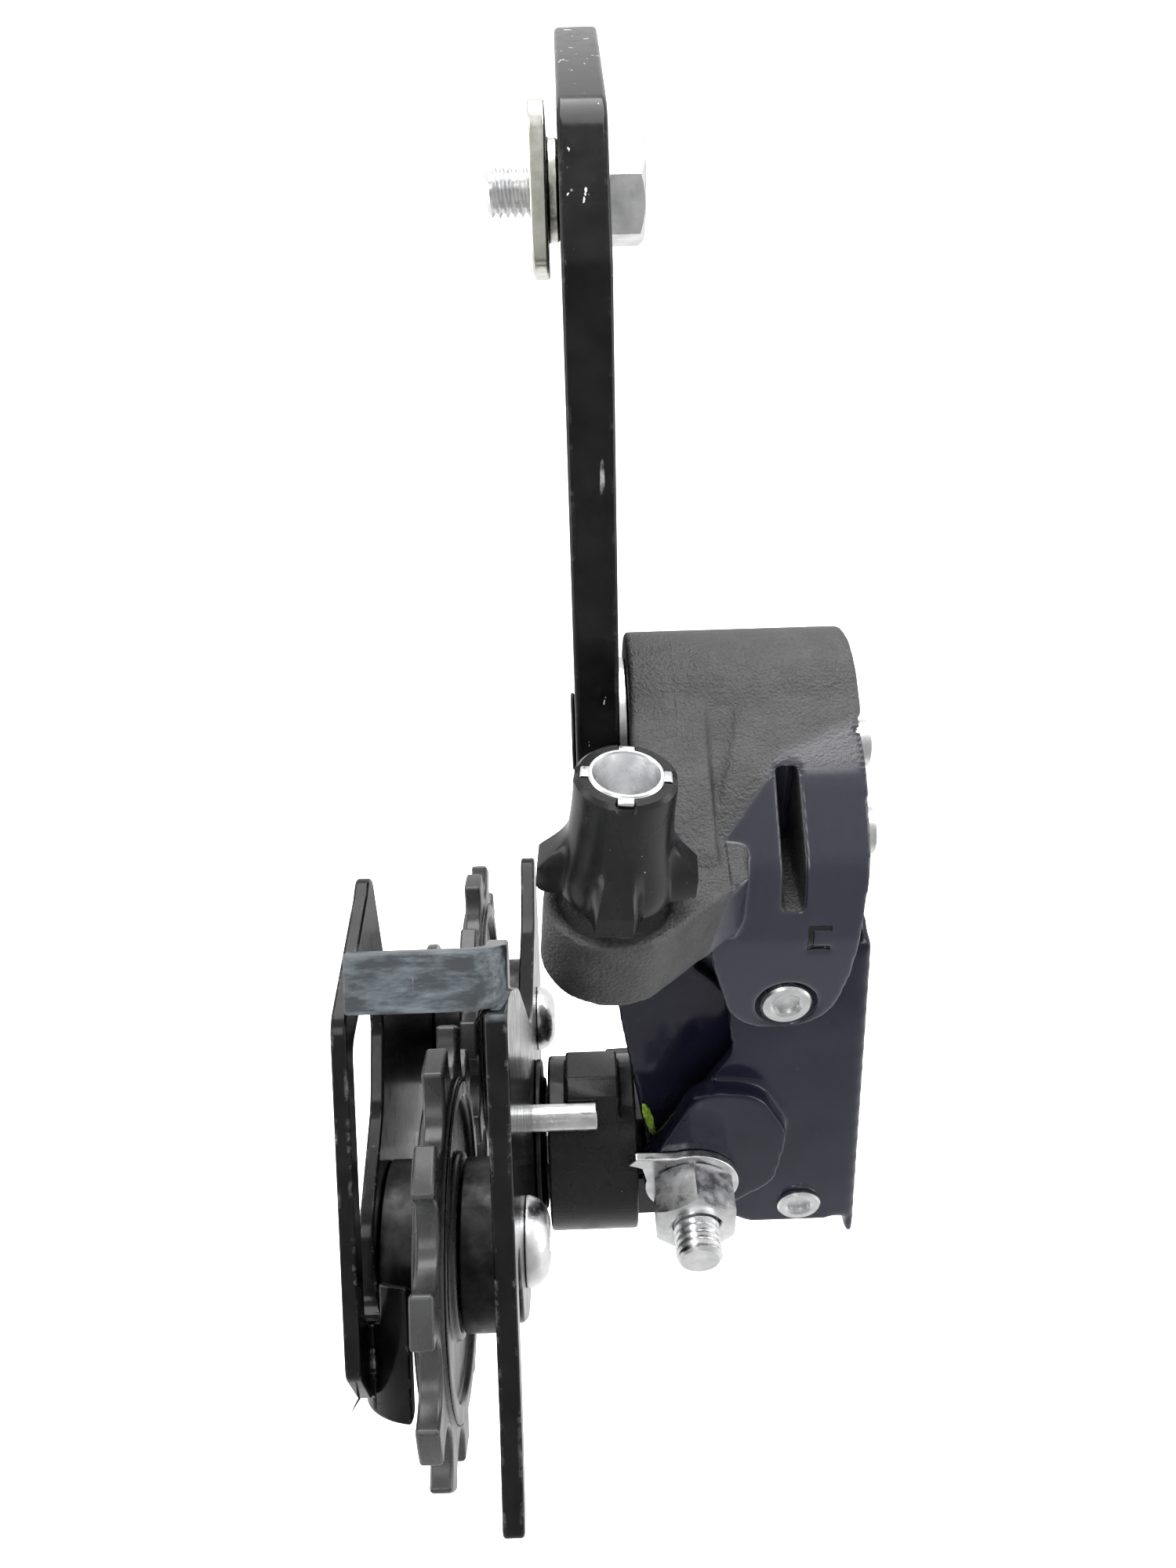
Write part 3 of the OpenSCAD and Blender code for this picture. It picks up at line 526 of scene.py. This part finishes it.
# %% Hanger bolt
_, bolt_y, bolt_z = centre_mm("hanger_bolt")
(bolt_x0, _, _), (bolt_x1, _, _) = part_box("hanger_bolt")
bolt_x0, bolt_x1, face = bolt_x0 * 1000, bolt_x1 * 1000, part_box("hanger_bracket")[1][0] * 1000
head = bolt_x1 - face
dish = head - 0.22
bm = turned([(CENTRE, 0.02), (5, 0.02), (5, head), (4.7, head), (3.9, head), (3.6, dish), (CENTRE, dish)],
            closed=False)
to_hexagon(bm, 10, 0, head, chamfer_low=False)
rod = threaded(2.45, 0.8, face - bolt_x0)
rod.transform(Matrix.Rotation(math.pi, 4, "X"))
joined(bm, rod)
shaped(bm, "hanger_bolt_threaded", "hanger_bolt", along_x(face, bolt_y, bolt_z, 23), crease=28)
print("bolt head", round(head, 2), "mm, faces", made["hanger_bolt_threaded"])

# %% [markdown]
# ## Upper knuckle
# The knuckle is the big moulding. It gets the moulded skin, and the two limit screws stay crisp.

# %% Knuckle and its screws
moulded("b_knuckle", "upper_knuckle_moulding", LINK, 0.34, 9)
softened("high_limit_screw", "high_limit_screw_head", 0.12)
softened("low_limit_screw", "low_limit_screw_head", 0.12)
print("knuckle faces", made["upper_knuckle_moulding"])

# %% [markdown]
# ## Barrel adjuster
# The knob is a moulded sleeve that flares into four finger wings with flat ends. A turned sleeve is spun
# finely, and each point of its outer wall then moves out by how close it is to a wing and how far down it
# is. At the rim, four notches let the metal insert's tabs fold over.

# %% Knob
# Degrees: where the first wing points, half the width of its flat end, and how far it fades beside that.
WING_TURN, WING_HALF, WING_FADE = -2, 13, 14
# Millimetres: the height where the wings start, how far down they are full, and how far out they reach.
WING_TOP, WING_FALL, WING_REACH = -6.5, 4.6, 8.0


def wing_share(angle):
    """Degrees away from the middle of the nearest wing, and how much of a wing is there."""
    off = abs((angle - WING_TURN + 45) % 90 - 45)
    flat = 1.0 if off < WING_HALF else max(0.0, 1 - (off - WING_HALF) / WING_FADE) ** 1.5
    return off, flat


sleeve = [(3.7, 0), (4.55, 0), (4.95, -0.42), (4.97, -1.1), (4.95, -2.2), (4.98, -3.6), (5.06, -5),
          (5.15, -6.2), (5.2, -7), (5.27, -7.6), (5.33, -8.2), (5.4, -8.8), (5.5, -9.4), (5.6, -10),
          (5.7, -10.6), (5.8, -11.2), (5.9, -12.2), (5.95, -13.5), (5.8, -13.95), (5.0, -14),
          (5.0, -11.15), (3.05, -11.1), (3.05, -10.05), (3.7, -10.05)]
bm = turned(sleeve, 144)
for v in bm.verts:
    r, angle = math.hypot(v.co.x, v.co.y), math.degrees(math.atan2(v.co.y, v.co.x))
    off, flat = wing_share(angle)
    if r > 5.1 and v.co.z < WING_TOP:
        fall = min(1.0, (-v.co.z + WING_TOP) / WING_FALL)
        rounding = 0.25 if v.co.z < -13.7 else 0
        goal = WING_REACH / math.cos(math.radians(min(off, WING_HALF))) - rounding
        out = r + (goal - r) * flat * fall ** 1.8
        v.co.x, v.co.y = v.co.x * out / r, v.co.y * out / r
    elif v.co.z > -0.5 and off < 10.5:
        v.co.z -= 0.42
shaped(bm, "adjuster_wing_knob", "adjuster_knob", ADJUSTER, crease=24)
print("knob faces", made["adjuster_wing_knob"])

# %% [markdown]
# The insert is a turned zinc ferrule seat. Its stem is threaded into the knuckle, its bore steps down to the
# cable hole, and four small tabs are folded over the knob's rim.

# %% Ferrule seat with folded tabs
bore = [(3.05, -0.15), (3.05, -5.6), (2.98, -5.8), (2.98, -8.3), (2.1, -8.9), (1.0, -9.0), (1.0, -24.3)]
wall = [(2.9, -24.3), (2.9, -10.2), (2.95, -10), (3.62, -10), (3.65, -9.7), (3.65, 0.05), (3.5, 0.24),
        (3.25, 0.24)]
bm = turned(wall + bore, 72)
tab_size = Matrix.Diagonal((0.7, 1.5, 0.24, 1))
for turn in range(WING_TURN, WING_TURN + 360, 90):
    tab = bmesh.new()
    bmesh.ops.create_cube(tab, size=1, matrix=Matrix.Translation((3.85, 0, 0.02)) @ tab_size)
    outer = [f for f in tab.faces if f.normal.x > 0.9]
    foot = bmesh.ops.extrude_face_region(tab, geom=outer)["geom"]
    folded = [g for g in foot if isinstance(g, bmesh.types.BMVert)]
    bmesh.ops.translate(tab, verts=folded, vec=(0.16, 0, -0.16))
    bmesh.ops.delete(tab, geom=outer, context="FACES_ONLY")
    bmesh.ops.bevel(tab, geom=tab.edges, offset=0.06, segments=2, profile=0.5, affect="EDGES", material=-1)
    bmesh.ops.rotate(tab, verts=tab.verts, cent=(0, 0, 0), matrix=Matrix.Rotation(math.radians(turn), 3, "Z"))
    joined(bm, tab)
shaped(bm, "ferrule_seat", "adjuster_insert", ADJUSTER)
print("seat faces", made["ferrule_seat"])

# %% [markdown]
# Springs are the same spin with a rise as the thread, but the profile is a ring of wire.

# %% Coil springs
def wound(radius, wire, turns, rise):
    bm = bmesh.new()
    upright = Matrix.Rotation(math.pi / 2, 4, "X")
    ring = bmesh.ops.create_circle(bm, segments=12, radius=wire, cap_ends=False,
                                   matrix=Matrix.Translation((radius, 0, 0)) @ upright)
    steps = int(28 * turns)
    edges = bm.edges[:]
    bmesh.ops.spin(bm, geom=ring["verts"] + edges, cent=(0, 0, 0), axis=(0, 0, 1), dvec=(0, 0, rise / steps),
                   angle=2 * math.pi * turns, steps=steps)
    bmesh.ops.holes_fill(bm, edges=[e for e in bm.edges if e.is_boundary], sides=0)
    return bm


under_knob = ADJUSTER @ Matrix.Translation((0, 0, -15.7))
shaped(wound(4.1, 0.35, 3, 3.9), "adjuster_coil", "adjuster_spring", under_knob, crease=60)
shaped(wound(3.7, 0.6, 5, 9), "return_coil", "return_spring", in_link(*UPPER_OUTER, 41.5), crease=60)
shaped(wound(6, 0.65, 3.5, 5.6), "cage_coil", "cage_spring", along_x(-4.4, -15.9, -126.5), crease=60)
print("springs", made["return_coil"], made["cage_coil"])

# %% [markdown]
# ## Links
# The outer link is one folded sheet with a pressed lug for the cable anchor. Its corners are drawn, not
# cut, so both links get the moulded skin too. The outer pins are riveted, which leaves a raised ring round
# a shallow recess, so they are turned from a profile.

# %% Links and pins
# The web of the outer link: its outboard edge at the top, the height of that, and how it widens below.
WEB_EDGE, WEB_TOP, WEB_TAPER = 33, -71.3, 0.0811
# Its two faces, how far from a corner the rounding reaches, and over what distance it fades out.
WEB_REAR, WEB_FRONT = 60.7, 31.2
FOLD_REACH, FOLD_FADE = 4.2, 1.2


def drawn_corner(point):
    """Where the outer link's sheet is folded: along both outer corners of its web."""
    edge = WEB_EDGE + (WEB_TOP - point.y) * WEB_TAPER - point.x
    depth = min(WEB_REAR - point.z, point.z - WEB_FRONT)
    return max(0.0, min(1.0, (FOLD_REACH - max(edge, depth)) / FOLD_FADE))


moulded("outer_link", "outer_link_pressing", LINK, 0.3, 7, corner=drawn_corner)
moulded("inner_link", "inner_link_channel", LINK, 0.3, 4)
for node, spot, seat, rise in (("upper_outer_pin", UPPER_OUTER, 61.7, 1.0),
                               ("lower_outer_pin", LOWER_OUTER, 60.7, 0.9)):
    crest = seat + rise
    rivet = [(CENTRE, 30.2), (2.0, 30.2), (2.2, 30.4), (2.2, seat), (2.9, seat), (3, seat + 0.15),
             (3, crest - 0.3), (2.75, crest - 0.02), (1.9, crest), (1.55, crest - 0.25), (1.45, seat + 0.15),
             (0.9, seat + 0.05), (CENTRE, seat + 0.1)]
    shaped(turned(rivet, 64, closed=False), node + "_head", node, in_link(*spot, 0))
softened("upper_inner_pin", "upper_inner_pin_turned", 0.15)
softened("lower_inner_pin", "lower_inner_pin_turned", 0.15)
print("link faces", made["outer_link_pressing"])

# %% [markdown]
# Pivots are packed with grease at the factory, and here a green smear has come out along the inner link. It
# is a flattened ball whose points are pushed about by a smooth noise, with a wet, slightly clear finish.

# %% Grease smear
grease = Finish("green_grease", Coat_Weight=1.0, Coat_Roughness=0.05, Specular_IOR_Level=0.6)
streak = grease.noise(900, 4)
grease_tone = grease.mix(grease.ramp(streak, 0.35, 0.65), (0.10, 0.20, 0.01, 1), (0.34, 0.50, 0.06, 1))
grease.wear(Base_Color=grease_tone, Roughness=grease.ramp(streak, 0.3, 0.7, 0.12, 0.3),
            Normal=grease.bump(streak, 0.0002, 0.6))
bm = bmesh.new()
bmesh.ops.create_icosphere(bm, subdivisions=5, radius=1)
for v in bm.verts:
    push = 1 + 0.35 * noise.noise(v.co * 2.2 + Vector((3, 7, 1))) + 0.12 * noise.noise(v.co * 6)
    v.co = Vector((v.co.x * 0.55, v.co.y * 3.3, v.co.z * 0.4)) * push
bm.transform(MM @ in_link(8.2, -107.2, 57.05, 12))
smear = placed("grease_smear", mesh_of(bm, "grease_smear"))
smear.data.materials.append(grease.material)
for face in smear.data.polygons:
    face.use_smooth = True
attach(smear, "inner_arm")
print("smear faces", len(smear.data.polygons))

# %% [markdown]
# The cable anchor is an M6 stud with a chamfered nut and a washer whose bent tab traps the cable. The nut
# has a chamfer at both ends.

# %% Cable anchor
anchor_x, anchor_height = 13.4, -111.4
bm = threaded(2.95, 1.0, 13.6, 0.22)
bm.transform(Matrix.Translation((0, 0, 61.6)))
collar = [(CENTRE, 59.15), (4.1, 59.15), (4.4, 59.4), (4.4, 61.5), (2.6, 61.5), (2.3, 62), (CENTRE, 62)]
joined(bm, turned(collar, 64, closed=False))
shaped(bm, "anchor_stud", "anchor_bolt", in_link(anchor_x, anchor_height, 0), crease=28)
bm = turned([(3.05, 0.3), (3.4, 0), (4.7, 0), (5, 0.1), (5, 6.1), (4.55, 6.2), (3.5, 6.2), (3.05, 5.8)])
to_hexagon(bm, 10, 0, 6.2)
shaped(bm, "anchor_hexagon_nut", "anchor_nut", in_link(anchor_x, anchor_height, 64.5, 30), crease=28)
softened("anchor_washer", "anchor_tab_washer", 0.22, segments=3)
print("anchor", made["anchor_stud"], made["anchor_hexagon_nut"])

# %% [markdown]
# ## Lower knuckle and cage
# The lower knuckle is a smoother moulding than the upper one and has no grain. The cage plates are stampings
# with worn, chipped edges. Their pivot, stop pin and cover are softened copies as well.

# %% Lower knuckle and cage
softened("p_knuckle", "lower_knuckle_moulding", 0.4, lower_nylon, segments=3)
softened("cage_axle", "cage_axle_turned", 0.2)
softened("cage_axle_clip", "cage_axle_ring", 0.1)
softened("cage_pivot_cover", "cage_pivot_cap", 0.3, segments=3)
softened("cage_stop_pin", "cage_stop_peg", 0.3, segments=3)
softened("outer_cage_plate", "outer_cage_stamping", 0.35, plate_steel, segments=3)
softened("inner_cage_plate", "inner_cage_stamping", 0.3, segments=3)
print("cage plates", made["outer_cage_stamping"], made["inner_cage_stamping"])

# %% [markdown]
# Both pulleys turn on steel bushes between dust caps, and each is held by a button-head bolt that goes
# through the cage into a nut. The nuts are made like the others, from a turned blank.

# %% Pulleys and their hardware
for place in ("guide", "tension"):
    softened(place + "_pulley", place + "_toothed_pulley", 0.4, segments=3)
    softened(place + "_bush", place + "_bush_turned", 0.12)
    softened(place + "_caps", place + "_dust_caps", 0.25, segments=3)
    softened(place + "_bolt", place + "_button_bolt", 0.15, segments=3)
    _, y, z = centre_mm(place + "_nut")
    (low, _, _), (high, _, _) = [[v * 1000 for v in corner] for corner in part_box(place + "_nut")]
    flats = 2 * 4.9 * math.cos(math.radians(30))
    bm = turned([(2.5, 0.15), (2.7, 0), (3.9, 0), (flats / 2, 0.1), (flats / 2, 1.8), (3.9, 1.9), (2.7, 1.9),
                 (2.5, 1.7)])
    to_hexagon(bm, flats, 0, high - low)
    shaped(bm, place + "_hexagon_nut", place + "_nut", along_x(low, y, z), crease=28)
print("pieces", len(made), "faces", sum(made.values()))

# %% [markdown]
# ## Studio
# The backdrop is one white bowl of paper: a floor that curves up into a wall all round, so that no horizon
# shows from any side. It glows a little and is left out of mirror reflections, because gloss black only
# reads as black when most of what it mirrors is dim.

# %% Paper bowl
side = [(CENTRE, 0), (1900, 0), (2300, 40), (2600, 200), (2800, 500), (2900, 1000), (2900, 3500),
        (CENTRE, 3900)]
bowl = turned(side, 96, closed=False)
bowl.transform(Matrix.Translation((0, 0, cad_box[0][2] - 0.09)) @ MM)
floor = placed("paper_bowl", mesh_of(bowl, "paper_bowl"))
floor.visible_glossy = False
paper = Finish("pale_paper", Roughness=0.9, Specular_IOR_Level=0.1)
paper.wear(Base_Color=paper.mix(paper.ramp(paper.noise(3, 4), 0.3, 0.7), grey(0.78), grey(0.82)),
           Emission_Color=(1, 1, 1, 1), Emission_Strength=0.72)
paper.material.cycles.emission_sampling = "NONE"
floor.data.materials.append(paper.material)
print("backdrop faces", len(floor.data.polygons))

# %% [markdown]
# Big soft lights stand above, at both sides and behind, over the camera. What the parts mirror comes from
# the world: bright towards the front and the sides and dim behind the rider, which gives plated parts their
# contrast and leaves the rear faces of the black parts dark.

# %% Lights and world
def soft_light(name, place, aim, wide, tall, power):
    data = bpy.data.lights.new(name, "AREA")
    data.shape, data.size, data.size_y, data.energy = "RECTANGLE", wide, tall, power
    lamp = placed(name, data)
    lamp.location = place
    lamp.rotation_euler = (Vector(aim) - Vector(place)).to_track_quat("-Z", "Y").to_euler()


middle = (0.0, -0.03, -0.08)
soft_light("tent_top", (0.05, 0.05, 0.95), middle, 1.0, 0.8, 11)
soft_light("panel_left", (-0.9, -0.15, 0.1), middle, 0.35, 0.9, 3.0)
soft_light("panel_rear", (-0.3, -0.85, 0.5), middle, 0.3, 0.4, 1.6)
soft_light("panel_right", (0.9, -0.05, 0.15), middle, 0.35, 0.9, 3.2)
world = bpy.data.worlds.new("tent")
bpy.context.scene.world = world
world.use_nodes = True
net = world.node_tree
towards = net.nodes.new("ShaderNodeTexCoord")
behind = net.nodes.new("ShaderNodeVectorMath")
behind.operation = "DOT_PRODUCT"
behind.inputs[1].default_value = (0, -0.97, -0.24)
fade = net.nodes.new("ShaderNodeMapRange")
fade.interpolation_type = "SMOOTHSTEP"
for key, value in (("From Min", 0.1), ("From Max", 0.85), ("To Min", 1.0), ("To Max", 0.45)):
    fade.inputs[key].default_value = value
net.links.new(towards.outputs["Generated"], behind.inputs[0])
net.links.new(behind.outputs["Value"], fade.inputs["Value"])
net.links.new(fade.outputs["Result"], net.nodes["Background"].inputs["Strength"])
net.nodes["Background"].inputs["Color"].default_value = (1, 1, 1, 1)
print("lights", len(bpy.data.lights))

# %% [markdown]
# ## Camera
# The camera is level with the hanger's top, behind the bicycle, and tips down by twenty degrees with a
# short lens, which is why the claw looks large and the cage narrows towards the floor.

# %% Camera
pitch, yaw, roll = math.radians(20), math.radians(0.6), math.radians(1.6)
ahead = Vector((math.sin(yaw) * math.cos(pitch), math.cos(yaw) * math.cos(pitch), -math.sin(pitch)))
level = Vector((math.cos(yaw), -math.sin(yaw), 0))
upright = level.cross(ahead)
right = level * math.cos(roll) - upright * math.sin(roll)
top = upright * math.cos(roll) + level * math.sin(roll)
data = bpy.data.cameras.new("camera")
data.lens, data.sensor_width, data.clip_start = 27, 36, 0.01
camera = placed("camera", data)
turn = Matrix((right, top, -ahead)).transposed().to_4x4()
camera.matrix_world = Matrix.Translation((-0.0001, -0.1539, -0.0231)) @ turn
bpy.context.scene.camera = camera
bpy.context.scene.view_settings.view_transform = "Standard"
print("camera", [round(v, 4) for v in camera.location])
